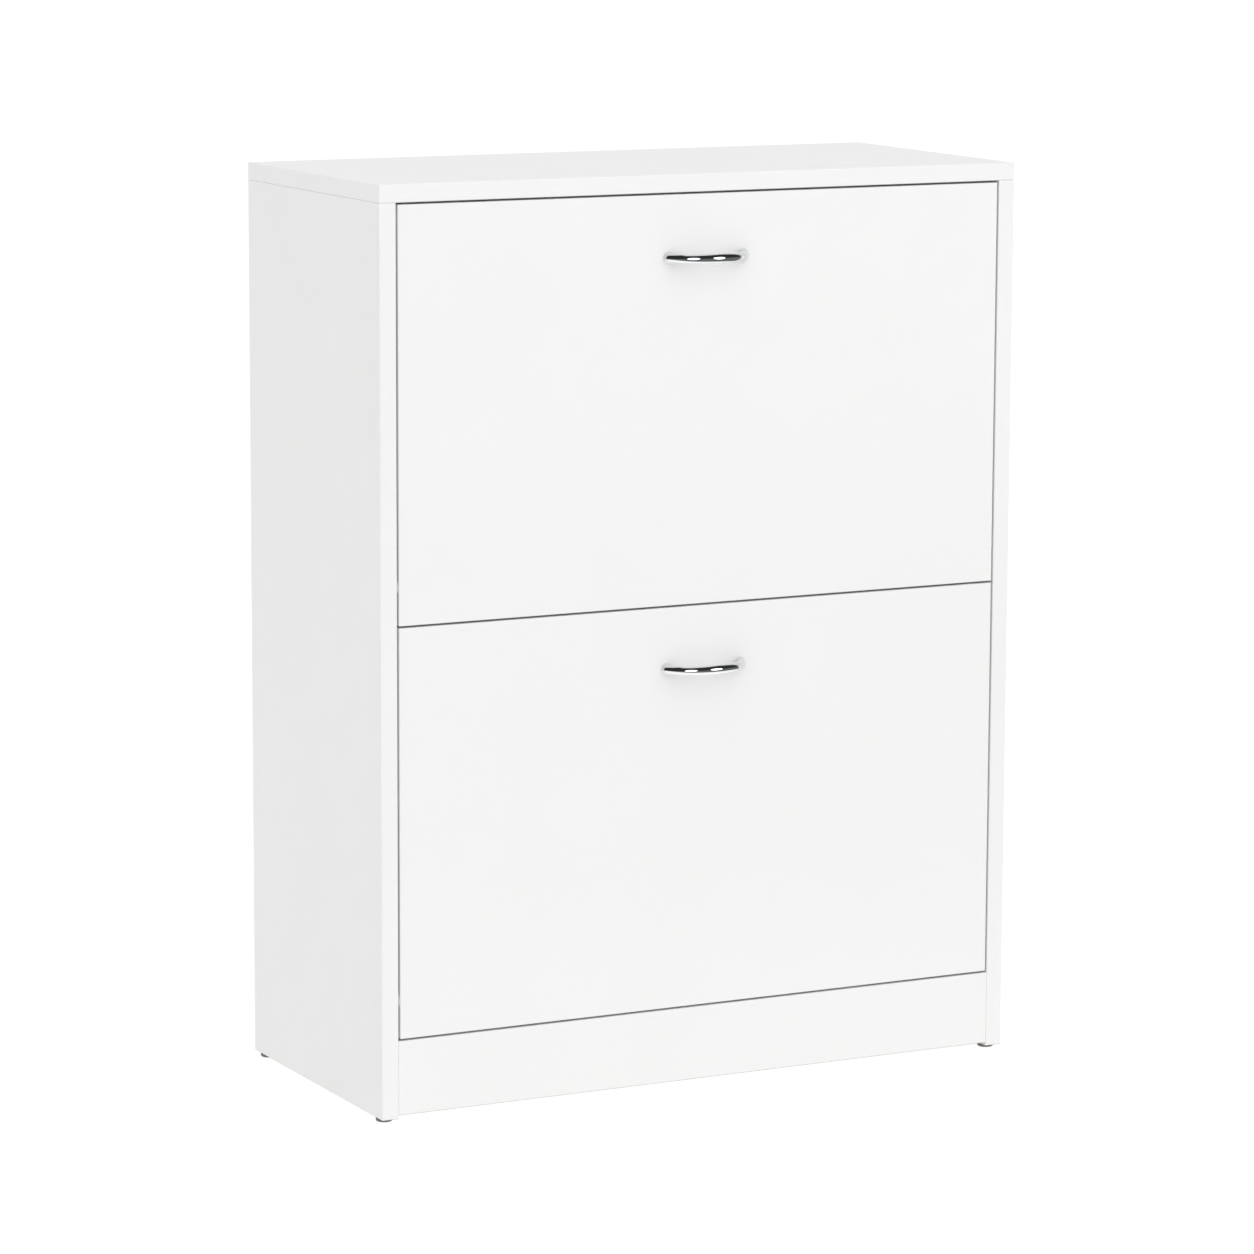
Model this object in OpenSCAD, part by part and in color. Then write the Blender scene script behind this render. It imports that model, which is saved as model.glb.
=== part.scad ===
// Shoe cabinet with two tip-out flaps, one above the other.
// Each flap turns on two pins near its bottom edge and carries a rack for two rows of shoes.
// Millimetres. X runs to the right, Y to the back, Z up. The origin is on the floor,
// under the middle of the space that the cabinet and its handles take up.

/* [Cabinet] */
// Overall width
body_w = 600; // [480:10:900]
// Depth of the cabinet, without the handles
body_d = 272; // [265:1:340]
// Height from the side panels' bottom edge to the top surface
body_h = 780; // [740:5:960]
// Thickness of the side panels, shelf, bottom, rails and plinth
board_t = 15; // [14:0.5:19]
// Thickness of the top panel
top_t = 15; // [14:0.5:22]
// Radius on the boards' edges
edge_r = 0.8; // [0.4:0.1:1.5]
// Height of the plinth board
plinth_h = 63.5; // [55:0.5:90]
// Gap between the plinth's bottom edge and the side panels' bottom level
plinth_lift = 3; // [1:0.5:6]
// Width of the flat rail under the top panel's front
front_rail_w = 60; // [50:1:80]
// Height of the upright rail under the top panel's back
rear_rail_h = 80; // [60:1:100]

/* [Flaps] */
// Thickness of a flap front
flap_t = 15; // [14:0.5:19]
// Gap all round a flap front
flap_gap = 1.75; // [1.5:0.25:4]
// How far a flap opens, in degrees
flap_open = 45; // [30:1:50]
// Height of the pivot above the flap's bottom edge
pivot_up = 32; // [28:1:40]
// Diameter of the pivot pins
pin_d = 5; // [4:0.5:6]
// Length of a pivot pin inside the side panel
pin_seat = 10; // [8:1:11]
// Length of a pivot pin inside the bush
pin_reach = 9; // [7:1:10]
// Radial running clearance of a pin in its bush
pin_clear = 0.05; // [0.03:0.01:0.1]
// Outside diameter of a bush
bush_d = 8; // [7.5:0.5:9]
// Length of a bush inside the flap
bush_l = 12; // [11:1:20]
// Diameter of a bush's flange
bush_flange_d = 12; // [10:1:13]
// Thickness of a bush's flange
bush_flange_t = 1; // [0.5:0.1:1.5]
// Thickness of the felt bumpers behind a flap
bumper_t = 2; // [1.5:0.5:4]
// Diameter of the felt bumpers
bumper_d = 10; // [8:1:12]
// Distance of a bumper from the flap's side edge
bumper_in = 50; // [30:5:90]

/* [Racks] */
// Thickness of a rack's side plates
plate_t = 4; // [4:0.5:6]
// Gap between a side plate and the cabinet's side panel
plate_gap = 3.5; // [3.5:0.5:6]
// Thickness of the rack boards
rack_t = 8; // [8:0.5:10]
// Inside depth of the front shoe row
front_row = 103.5; // [90:0.5:110]
// Height of the front floor's underside above the flap's bottom edge
front_floor_up = 12; // [10:1:18]
// Height of the divider
divider_h = 210; // [150:5:220]
// How far the rear floor is above the front floor
rear_floor_rise = 68; // [50:1:80]
// Height of the rear board
rear_board_h = 92; // [70:1:100]
// Distance from the side plates' rear edge to the back panel
rack_back_gap = 9.5; // [8:0.5:16]
// Clearance between the rack's sweep and the shelf or rail above it
rack_sweep_gap = 13.5; // [10:0.5:25]
// Height of the side plates at the flap, above the flap's bottom edge
plate_front_h = 282; // [230:1:290]
// Margin of a side plate round the rack boards
plate_margin = 4; // [3:0.5:8]
// Width of the flange that fixes a side plate to the flap
flange_w = 20; // [16:1:30]
// Thickness of that flange
flange_t = 3; // [2.5:0.5:4]
// Radius of the stop slot's centre line round the pivot
slot_r = 92; // [85:1:95]
// Direction of the stop stud from the pivot, in degrees above the horizontal
stud_angle = 74; // [70:1:76]
// Diameter of the stop stud
stud_d = 8; // [6:0.5:9]
// Diameter of the stud's shoulder
shoulder_d = 14; // [11:1:16]
// Thickness of the stud's shoulder
shoulder_t = 2; // [1:0.5:2.5]
// Clearance of the stud in the slot
slot_clear = 0.4; // [0.3:0.1:0.6]
// How much wider the slot's drilled ends are, on the radius
slot_relief = 0.15; // [0.1:0.05:0.3]

/* [Handles] */
// Distance between a handle's two screws
handle_pitch = 70; // [64:2:96]
// How far a handle stands out from the flap
handle_out = 21; // [18:1:26]
// Thickness of the handle's bow at its middle
bow_t = 5.5; // [5:0.5:7]
// Height of the bow
bow_w = 8.5; // [7:0.5:10]
// Diameter of the handle's domed feet
foot_d = 11.5; // [11:0.5:14]
// Distance of the screws below the flap's top edge
handle_drop = 53; // [40:1:80]
// Diameter of the handle screws
handle_screw_d = 4; // [3:0.5:4]
// Depth of the threaded holes in the handle's feet
handle_thread = 7; // [5:0.5:7]
// Head diameter of the handle screws
handle_head_d = 8; // [7:0.5:9]
// Head height of the handle screws
handle_head_t = 2.4; // [2:0.1:3]

/* [Back and glides] */
// Thickness of the back panels
back_t = 3; // [2.5:0.5:4]
// Distance from the back panels to the side panels' rear edge
back_in = 8; // [7:0.5:12]
// Depth of the grooves that hold the back panels
groove = 7; // [5:0.5:8]
// Clearance of the back panels in their grooves
groove_clear = 0.2; // [0.1:0.1:0.4]
// Width of the strip that joins the two back panels
strip_w = 14; // [12:1:14]
// Wall of that strip
strip_t = 1; // [0.8:0.1:1.2]
// Diameter of a glide
glide_d = 14; // [12:1:15]
// Height of a glide
glide_h = 3.5; // [3:0.5:6]
// Distance of a glide's centre from the side panel's front or rear edge
glide_in = 13.5; // [12:0.5:20]
// Distance between the two wall-fixing holes
wall_pitch = 400; // [240:10:400]
// Diameter of the wall-fixing holes
wall_hole_d = 5.5; // [4.5:0.5:7]
// Diameter of the holes behind them in the back panel
wall_pass_d = 16; // [12:1:24]

/* [Fasteners] */
// Diameter of a cam lock
cam_d = 15; // [12:1:15]
// Depth of a cam lock
cam_deep = 12.5; // [11:0.5:13]
// Distance from a joint to the centre of its cam lock
cam_reach = 34; // [24:1:34]
// Diameter of the hole for a cam bolt
bolt_hole_d = 7.8; // [7:0.1:8]
// Diameter of a cam bolt
bolt_d = 6.6; // [6:0.1:6.8]
// Diameter of a cam bolt's neck
neck_d = 3.4; // [3:0.1:4]
// Diameter of a cam bolt's threaded end
thread_d = 5; // [4:0.5:6]
// Depth of that end in the panel
thread_l = 10.5; // [9:0.5:11]
// Diameter of a dowel
dowel_d = 8; // [6:1:8]
// Depth of a dowel in a panel's face
dowel_face = 11; // [8:1:12]
// Depth of a dowel in a board's end
dowel_end = 19; // [14:1:24]
// Diametral clearance of a dowel
dowel_clear = 0.1; // [0.05:0.05:0.2]
// Diameter of the rack screws
rack_screw_d = 3.5; // [3:0.5:4]
// Head diameter of the rack screws
rack_head_d = 7; // [6:0.5:7.5]
// Length of the rack screws
rack_screw_l = 22; // [18:1:26]
// Length of the flange screws
flange_screw_l = 14; // [12:1:16]
// Diameter of the nails
nail_d = 1.6; // [1.4:0.1:2]
// Length of the nails
nail_l = 18; // [14:1:22]

/* [Hidden] */
$fn = 48;

sides = [-1, 1];
eps = 0.01;

// Widths, from the outside in
in_w = body_w - 2 * board_t;
flap_w = in_w - 2 * flap_gap;
plate_x = in_w / 2 - plate_gap;
rack_w = 2 * (plate_x - plate_t);

// Depths
y_front = handle_out - (body_d + handle_out) / 2;
y_back = y_front + body_d;
y_panel = y_back - back_in - back_t;
y_inner = y_front + flap_t + bumper_t;
y_pivot = y_front + flap_t / 2;

// Heights
z_side = glide_h;
z_top = glide_h + body_h;
side_h = body_h - top_t;
z_under = z_side + side_h;
z_plinth = z_side + plinth_lift;
z_deck = z_plinth + plinth_h;
flap_h = (z_under - z_deck - 3 * flap_gap) / 2;
z_lower = z_deck + flap_gap;
z_upper = z_lower + flap_h + flap_gap;
z_shelf = z_lower + flap_h - board_t;
z_strip = z_shelf + board_t / 2;

// Places in a rack, measured from the pivot: first back, then up
skin = flap_t / 2;
row_1 = skin + front_row;
row_2 = row_1 + rack_t;
floor_z = front_floor_up - pivot_up;
rear_floor_z = floor_z + rear_floor_rise;
sweep_r = flap_h - board_t - pivot_up - rack_sweep_gap;
// The rack is as deep as the back panel leaves room for, and its rear board's top edge
// stays inside the circle that clears the shelf or rail above
sweep_depth = sqrt(pow(sweep_r, 2) - pow(rear_floor_z + rear_board_h, 2));
rear_edge = min(y_panel - rack_back_gap - y_pivot, sweep_depth);
rear_in = rear_edge - plate_margin - rack_t;
bow_out = handle_out - bow_t / 2;

white = [0.95, 0.95, 0.94];
rack_white = [0.9, 0.9, 0.89];
steel = [0.7, 0.71, 0.73];
chrome = [0.8, 0.81, 0.83];
grey = [0.45, 0.45, 0.46];
beech = [0.82, 0.68, 0.5];

// ---- Shapes used by many pieces ----

// A square with rounded corners, the corner at the origin
module round_square(size, r) {
    translate([r, 0]) square([size.x - 2 * r, size.y]);
    translate([0, r]) square([size.x, size.y - 2 * r]);
    for (x = [r, size.x - r], y = [r, size.y - r]) translate([x, y]) circle(r);
}

// A board with all its edges rounded, between two opposite corners
module board(low, high) {
    size = high - low;
    translate(low) intersection() {
        linear_extrude(size.z) round_square([size.x, size.y], edge_r);
        translate([0, size.y, 0]) rotate([90, 0, 0])
            linear_extrude(size.y) round_square([size.x, size.z], edge_r);
        rotate([90, 0, 90])
            linear_extrude(size.x) round_square([size.y, size.z], edge_r);
    }
}

// A countersunk screw at the origin: its head is flush with z = 0 and its shank points down
module flat_screw(d, head_d, l) {
    head_h = (head_d - d) / 2;
    translate([0, 0, -head_h]) cylinder(d1 = d, d2 = head_d, h = head_h);
    translate([0, 0, -l]) cylinder(d = d, h = l - head_h / 2);
}

// The cut for such a screw
module flat_screw_cut(d, head_d, l) {
    flat_screw(d, head_d, l);
    cylinder(d = head_d, h = 1);
}

// ---- Board joints ----
// A joint is [place, turn, spin]. At the place, local +Z runs into the board that holds the
// cam lock, and after the spin local +X points out of the lock's open face.

module at_joint(j) {
    translate(j[0]) rotate(j[1]) rotate([0, 0, j[2]]) children();
}

// Turn of a joint in the side panel on side s, with its board lying between the sides
function across(s) = s < 0 ? [0, 90, 0] : [0, 90, 180];
// Turn of a joint between the top panel and the side panel on side s
function down(s) = s < 0 ? [180, 0, 0] : [0, 180, 0];

x_in = in_w / 2;
x_mid = in_w / 2 + board_t / 2;
y_cams = [y_front + 45, y_back - 52];
y_dowels = [y_front + 80, y_back - 87];
deck_cams = [y_inner + 33, y_back - 52];
deck_dowels = [y_inner + 68, y_back - 87];
rail_cam = front_rail_w * 0.35;
rail_dowel = front_rail_w * 0.75;
y_rear_rail = y_panel - board_t / 2;

function cams(s) = concat(
    [for (y = y_cams) [[s * x_mid, y, z_under], down(s), 0]],
    [for (y = deck_cams) [[s * x_in, y, z_shelf + board_t / 2], across(s), 0]],
    [for (y = deck_cams) [[s * x_in, y, z_deck - board_t / 2], across(s), 0]],
    [[[s * x_in, y_inner + rail_cam, z_under - board_t / 2], across(s), 0]],
    [[[s * x_in, y_rear_rail, z_under - rear_rail_h * 0.3], across(s), s * 90]],
    [[[s * x_in, y_front + board_t / 2, z_plinth + plinth_h * 0.4], across(s), -s * 90]]
);

function dowel_joints(s) = concat(
    [for (y = y_dowels) [[s * x_mid, y, z_under], down(s), 0]],
    [for (y = deck_dowels) [[s * x_in, y, z_shelf + board_t / 2], across(s), 0]],
    [for (y = deck_dowels) [[s * x_in, y, z_deck - board_t / 2], across(s), 0]],
    [[[s * x_in, y_inner + rail_dowel, z_under - board_t / 2], across(s), 0]],
    [[[s * x_in, y_rear_rail, z_under - rear_rail_h * 0.7], across(s), 0]],
    [[[s * x_in, y_front + board_t / 2, z_plinth + plinth_h * 0.7], across(s), 0]]
);

// All the holes that the joints on side s need, in both of their boards
module joint_cuts(s) {
    for (j = cams(s)) at_joint(j) {
        translate([0, 0, -thread_l]) cylinder(d = thread_d, h = thread_l + 1);
        cylinder(d = bolt_hole_d, h = cam_reach);
        translate([board_t / 2 - cam_deep, 0, cam_reach]) rotate([0, 90, 0])
            cylinder(d = cam_d, h = cam_deep + 1);
    }
    for (j = dowel_joints(s)) at_joint(j)
        translate([0, 0, -dowel_face]) cylinder(d = dowel_d + dowel_clear, h = dowel_face + dowel_end);
}

module cam_bolt() {
    translate([0, 0, -thread_l]) cylinder(d = thread_d, h = thread_l + eps);
    cylinder(d = bolt_d, h = cam_reach - 8);
    translate([0, 0, cam_reach - 8 - eps]) cylinder(d = neck_d, h = 6);
    translate([0, 0, cam_reach - 2]) sphere(d = bolt_d);
}

module cam_lock() {
    difference() {
        translate([board_t / 2 - cam_deep, 0, cam_reach]) rotate([0, 90, 0])
            cylinder(d = cam_d, h = cam_deep - 0.3);
        // the way in for the bolt's head
        translate([0, 0, cam_reach - cam_d]) cylinder(d = bolt_hole_d, h = cam_d + 4);
        // the cross for the screwdriver
        for (turn = [0, 90]) translate([board_t / 2, 0, cam_reach]) rotate([turn, 0, 0])
            cube([5, 8, 1.4], center = true);
    }
}

// ---- Cabinet ----

module top_panel() {
    color(white) difference() {
        board([-body_w / 2, y_front, z_under], [body_w / 2, y_back, z_top]);
        back_cut();
        for (s = sides) joint_cuts(s);
    }
}

// The slot that the back panels stand in, cut in the sides and the top
module back_cut() {
    translate([-in_w / 2 - groove, y_panel - groove_clear, z_side - 1])
        cube([in_w + 2 * groove, back_t + 2 * groove_clear, side_h + groove + 1]);
}

module side_panel(s) {
    x_low = s < 0 ? -body_w / 2 : in_w / 2;
    color(white) difference() {
        board([x_low, y_front, z_side], [x_low + board_t, y_back, z_under]);
        back_cut();
        joint_cuts(s);
        for (z = [z_lower, z_upper]) {
            pivot_place(s, z) cylinder(d = pin_d, h = pin_seat);
            stud_place(s, z) cylinder(d = stud_seat_d(), h = pin_seat);
        }
        for (y = [y_front + glide_in, y_back - glide_in])
            translate([s * x_mid, y, z_side - eps]) cylinder(d = nail_d, h = nail_l);
    }
}

module side_panel_left() { side_panel(-1); }
module side_panel_right() { side_panel(1); }

module deck(z) {
    color(white) difference() {
        board([-in_w / 2, y_inner, z], [in_w / 2, y_panel - strip_t, z + board_t]);
        for (s = sides) joint_cuts(s);
    }
}

module middle_shelf() { deck(z_shelf); }

module bottom_panel() {
    color(white) difference() {
        board([-in_w / 2, y_front + board_t, z_deck - board_t], [in_w / 2, y_panel, z_deck]);
        for (s = sides) joint_cuts(s);
        back_nail_places() translate([0, 0, -eps]) cylinder(d = nail_d, h = nail_l);
    }
}

module plinth() {
    color(white) difference() {
        board([-in_w / 2, y_front, z_plinth], [in_w / 2, y_front + board_t, z_deck]);
        for (s = sides) joint_cuts(s);
    }
}

module front_top_rail() {
    color(white) difference() {
        board([-in_w / 2, y_inner, z_under - board_t], [in_w / 2, y_inner + front_rail_w, z_under]);
        for (s = sides) joint_cuts(s);
    }
}

module rear_top_rail() {
    color(white) difference() {
        board([-in_w / 2, y_panel - board_t, z_under - rear_rail_h], [in_w / 2, y_panel, z_under]);
        for (s = sides) joint_cuts(s);
        wall_holes(wall_hole_d);
    }
}

module wall_holes(d) {
    for (s = sides)
        translate([s * wall_pitch / 2, y_panel - board_t - 1, z_under - rear_rail_h / 2])
            rotate([-90, 0, 0]) cylinder(d = d, h = board_t + back_t + 2);
}

// ---- Back ----

back_w = in_w + 2 * (groove - groove_clear);
strip_gap = strip_t / 2;

module back_panel(z_low, z_high) {
    translate([-back_w / 2, y_panel, z_low]) cube([back_w, back_t, z_high - z_low]);
}

module back_panel_upper() {
    color(white) difference() {
        back_panel(z_strip + strip_gap, z_under + groove - groove_clear);
        wall_holes(wall_pass_d);
    }
}

module back_panel_lower() {
    color(white) difference() {
        back_panel(z_deck - board_t, z_strip - strip_gap);
        back_nail_places() translate([0, 0, -back_t - 1]) cylinder(d = nail_d, h = back_t + 2);
    }
}

module back_joint_strip() {
    color(rack_white) translate([-in_w / 2, 0, z_strip - strip_w / 2]) {
        for (y = [y_panel - strip_t, y_panel + back_t])
            translate([0, y, 0]) cube([in_w, strip_t, strip_w]);
        translate([0, y_panel - eps, strip_w / 2 - strip_gap])
            cube([in_w, back_t + 2 * eps, 2 * strip_gap]);
    }
}

// Places of the back panel's nails: local +Z runs forward, into the bottom panel's rear edge
module back_nail_places() {
    for (i = [-2:2])
        translate([i * (in_w / 2 - 30) / 2, y_panel, z_deck - board_t / 2])
            rotate([90, 0, 0]) children();
}

module back_panel_nails() {
    color(steel) back_nail_places() {
        translate([0, 0, -back_t]) cylinder(d = nail_d, h = nail_l + back_t - 1);
        translate([0, 0, -back_t - 0.8]) cylinder(d = 3 * nail_d, h = 0.8);
    }
}

// ---- Glides ----

glide_rim = 1;
nail_head_t = 1;

module glide(s, y) {
    color(grey) translate([s * x_mid, y, 0]) difference() {
        rotate_extrude() polygon([
            [0, 0], [glide_d / 2 - glide_rim, 0], [glide_d / 2, glide_rim],
            [glide_d / 2, glide_h], [0, glide_h]
        ]);
        translate([0, 0, nail_head_t]) cylinder(d = nail_d, h = glide_h);
        translate([0, 0, glide_rim]) cylinder(d = 3 * nail_d, h = nail_head_t);
    }
}

module glide_front_left() { glide(-1, y_front + glide_in); }
module glide_front_right() { glide(1, y_front + glide_in); }
module glide_rear_left() { glide(-1, y_back - glide_in); }
module glide_rear_right() { glide(1, y_back - glide_in); }

module glide_nails() {
    color(steel) for (s = sides, y = [y_front + glide_in, y_back - glide_in])
        translate([s * x_mid, y, glide_rim]) {
            cylinder(d = nail_d, h = nail_l);
            cylinder(d = 3 * nail_d, h = nail_head_t);
        }
}

// ---- Fasteners of the cabinet ----

module cam_bolts() {
    color(steel) for (s = sides, j = cams(s)) at_joint(j) cam_bolt();
}

module cam_locks() {
    color(steel) for (s = sides, j = cams(s)) at_joint(j) cam_lock();
}

module dowels() {
    color(beech) for (s = sides, j = dowel_joints(s)) at_joint(j)
        translate([0, 0, 1 - dowel_face]) cylinder(d = dowel_d, h = dowel_face + dowel_end - 2);
}

// ---- Pivots and stops ----

function stud_seat_d() = stud_d - 3;

// On the side panel's inner face at the pivot of the flap whose bottom is at z.
// Local +Z runs outward, into the side panel.
module pivot_place(s, z) {
    translate([s * in_w / 2, y_pivot, z + pivot_up]) rotate([0, s * 90, 0]) children();
}

// The same at the stop stud
module stud_place(s, z) {
    translate([
        s * in_w / 2,
        y_pivot + slot_r * cos(stud_angle),
        z + pivot_up + slot_r * sin(stud_angle)
    ]) rotate([0, s * 90, 0]) children();
}

module pivot_pin(s, z) {
    inside = flap_gap + pin_reach;
    color(steel) pivot_place(s, z) translate([0, 0, -inside]) cylinder(d = pin_d, h = inside + pin_seat);
}

module pivot_pin_upper_left() { pivot_pin(-1, z_upper); }
module pivot_pin_upper_right() { pivot_pin(1, z_upper); }
module pivot_pin_lower_left() { pivot_pin(-1, z_lower); }
module pivot_pin_lower_right() { pivot_pin(1, z_lower); }

module stop_stud(s, z) {
    inside = plate_gap + plate_t - slot_clear;
    color(grey) stud_place(s, z) {
        translate([0, 0, -inside]) cylinder(d = stud_d, h = inside);
        translate([0, 0, -shoulder_t]) cylinder(d = shoulder_d, h = shoulder_t);
        cylinder(d = stud_seat_d(), h = pin_seat);
    }
}

module stop_stud_upper_left() { stop_stud(-1, z_upper); }
module stop_stud_upper_right() { stop_stud(1, z_upper); }
module stop_stud_lower_left() { stop_stud(-1, z_lower); }
module stop_stud_lower_right() { stop_stud(1, z_lower); }

module bumpers(z) {
    color(rack_white) for (s = sides)
        translate([s * (flap_w / 2 - bumper_in), y_inner, z]) rotate([90, 0, 0])
            cylinder(d = bumper_d, h = bumper_t);
}

module bumpers_upper() { bumpers(z_under - board_t / 2); }
module bumpers_lower() { bumpers(z_shelf + board_t / 2); }

// ---- Flaps ----

module handle_places(z) {
    for (s = sides)
        translate([s * handle_pitch / 2, y_front, z + flap_h - handle_drop])
            rotate([90, 0, 0]) children();
}

module flap_front(z) {
    color(white) difference() {
        board([-flap_w / 2, y_front, z], [flap_w / 2, y_front + flap_t, z + flap_h]);
        handle_places(z) translate([0, 0, -flap_t - 1]) cylinder(d = handle_screw_d + 0.5, h = flap_t + 2);
        for (s = sides) {
            pivot_place(s, z) translate([0, 0, -flap_gap - bush_l]) cylinder(d = bush_d, h = bush_l + 1);
            flange_screws(s, z) flat_screw_cut(rack_screw_d, rack_head_d, flange_screw_l);
        }
    }
}

module flap_front_upper() { flap_front(z_upper); }
module flap_front_lower() { flap_front(z_lower); }

module pivot_bushes(z) {
    color(rack_white) for (s = sides) pivot_place(s, z) difference() {
        union() {
            translate([0, 0, -flap_gap - bush_l]) cylinder(d = bush_d, h = bush_l);
            translate([0, 0, -flap_gap]) cylinder(d = bush_flange_d, h = bush_flange_t);
        }
        translate([0, 0, -flap_gap - pin_reach - 1])
            cylinder(d = pin_d + 2 * pin_clear, h = pin_reach + flap_gap + 1);
    }
}

module pivot_bushes_upper() { pivot_bushes(z_upper); }
module pivot_bushes_lower() { pivot_bushes(z_lower); }

// ---- Handles ----

// The bow is half a ring drawn out sideways, so it is slim at its middle and stout at its feet
module handle(z) {
    color(chrome) translate([0, y_front, z + flap_h - handle_drop]) difference() {
        union() {
            scale([handle_pitch / 2 / bow_out, 1, bow_w / bow_t]) rotate([0, 0, 175])
                rotate_extrude(angle = 190) translate([bow_out, 0]) circle(d = bow_t);
            for (s = sides) translate([s * handle_pitch / 2, 0, 0]) sphere(d = foot_d);
        }
        translate([-handle_pitch, 0, -foot_d]) cube([2 * handle_pitch, foot_d, 2 * foot_d]);
        for (s = sides) translate([s * handle_pitch / 2, eps, 0]) rotate([90, 0, 0])
            cylinder(d = handle_screw_d, h = handle_thread);
    }
}

module handle_upper() { handle(z_upper); }
module handle_lower() { handle(z_lower); }

module handle_screws(z) {
    color(steel) handle_places(z) {
        translate([0, 0, -flap_t]) cylinder(d = handle_screw_d, h = flap_t + handle_thread - 1);
        translate([0, 0, -flap_t - handle_head_t]) cylinder(d = handle_head_d, h = handle_head_t);
    }
}

module handle_screws_upper() { handle_screws(z_upper); }
module handle_screws_lower() { handle_screws(z_lower); }

// ---- Racks ----
// A rack hangs on the back of its flap. rack_frame puts its origin at the pivot on the left
// end of the boards, with +X to the right, +Y back and +Z up.

module rack_frame(z) {
    translate([-rack_w / 2, y_pivot, z + pivot_up]) children();
}

// The outline of a side plate, with the pivot at the origin
module plate_outline() {
    low = floor_z - plate_margin;
    intersection() {
        circle(r = sweep_r, $fn = 96);
        polygon([
            [skin, low], [row_2, low],
            [rear_edge, rear_floor_z - plate_margin],
            [rear_edge, sweep_r], [rear_edge / 2, sweep_r],
            [skin, plate_front_h - pivot_up]
        ]);
    }
}

// The slot that the stop stud runs in, with the pivot at the origin. Its ends are drilled
// a little wider than the slot.
module stop_slot() {
    r = stud_d / 2 + slot_clear;
    rotate([0, 0, stud_angle - flap_open]) rotate_extrude(angle = flap_open)
        translate([slot_r - r, -1]) square([2 * r, plate_t + 2]);
    for (a = [stud_angle - flap_open, stud_angle]) rotate([0, 0, a])
        translate([slot_r, 0, -1]) cylinder(r = r + slot_relief, h = plate_t + 2);
}

// Turns a shape drawn with X back, Y up and its thickness in +Z to stand across the rack,
// with its thickness from the outer face towards the middle
module plate_place(s, z) {
    translate([s * plate_x, y_pivot, z + pivot_up])
        mirror([s > 0 ? 1 : 0, 0, 0]) rotate([90, 0, 90]) children();
}

flange_low = floor_z + rack_t + 6;
flange_high = plate_front_h - pivot_up - 8;

module rack_side(s, z) {
    color(rack_white) difference() {
        plate_place(s, z) difference() {
            union() {
                linear_extrude(plate_t) plate_outline();
                translate([skin, flange_low, 0])
                    cube([flange_t, flange_high - flange_low, plate_t + flange_w]);
            }
            stop_slot();
        }
        flange_screws(s, z) flat_screw_cut(rack_screw_d, rack_head_d, flange_screw_l);
        plate_screws(s, z) flat_screw_cut(rack_screw_d, rack_head_d, rack_screw_l);
    }
}

module rack_side_upper_left() { rack_side(-1, z_upper); }
module rack_side_upper_right() { rack_side(1, z_upper); }
module rack_side_lower_left() { rack_side(-1, z_lower); }
module rack_side_lower_right() { rack_side(1, z_lower); }

// Screws through the flange into the flap: local -Z runs forward
module flange_screws(s, z) {
    for (k = [0.1, 0.5, 0.9])
        translate([
            s * (plate_x - plate_t - flange_w / 2),
            y_pivot + skin + flange_t,
            z + pivot_up + flange_low + k * (flange_high - flange_low)
        ]) rotate([-90, 0, 0]) children();
}

// Screws through a side plate into the boards' ends: local -Z runs inward
screw_spots = [
    [skin + front_row * 0.25, floor_z + rack_t / 2],
    [skin + front_row * 0.75, floor_z + rack_t / 2],
    [row_1 + rack_t / 2, floor_z + divider_h * 0.2],
    [row_1 + rack_t / 2, floor_z + divider_h * 0.85],
    [row_2 + (rear_in - row_2) * 0.5, rear_floor_z + rack_t / 2],
    [rear_in + rack_t / 2, rear_floor_z + rear_board_h * 0.2],
    [rear_in + rack_t / 2, rear_floor_z + rear_board_h * 0.8]
];

module plate_screws(s, z) {
    for (p = screw_spots)
        translate([s * plate_x, y_pivot + p.x, z + pivot_up + p.y])
            rotate([0, s * 90, 0]) children();
}

module rack_screws(z) {
    color(steel) for (s = sides) {
        flange_screws(s, z) flat_screw(rack_screw_d, rack_head_d, flange_screw_l);
        plate_screws(s, z) flat_screw(rack_screw_d, rack_head_d, rack_screw_l);
    }
}

module rack_screws_upper() { rack_screws(z_upper); }
module rack_screws_lower() { rack_screws(z_lower); }

// A rack board between two places measured from the pivot, drilled for its screws
module rack_board(z, low, high) {
    color(white) difference() {
        rack_frame(z) translate([0, low.x, low.y])
            cube([rack_w, high.x - low.x, high.y - low.y]);
        for (s = sides) plate_screws(s, z) flat_screw(rack_screw_d, rack_head_d, rack_screw_l);
    }
}

module rack_floor(z) {
    rack_board(z, [skin, floor_z], [row_1, floor_z + rack_t]);
}

module rack_divider(z) {
    rack_board(z, [row_1, floor_z], [row_2, floor_z + divider_h]);
}

module rack_rear_floor(z) {
    rack_board(z, [row_2, rear_floor_z], [rear_in, rear_floor_z + rack_t]);
}

module rack_rear_board(z) {
    rack_board(z, [rear_in, rear_floor_z], [rear_in + rack_t, rear_floor_z + rear_board_h]);
}

module rack_floor_upper() { rack_floor(z_upper); }
module rack_floor_lower() { rack_floor(z_lower); }
module rack_divider_upper() { rack_divider(z_upper); }
module rack_divider_lower() { rack_divider(z_lower); }
module rack_rear_floor_upper() { rack_rear_floor(z_upper); }
module rack_rear_floor_lower() { rack_rear_floor(z_lower); }
module rack_rear_board_upper() { rack_rear_board(z_upper); }
module rack_rear_board_lower() { rack_rear_board(z_lower); }

// ---- Drawing ----

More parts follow.
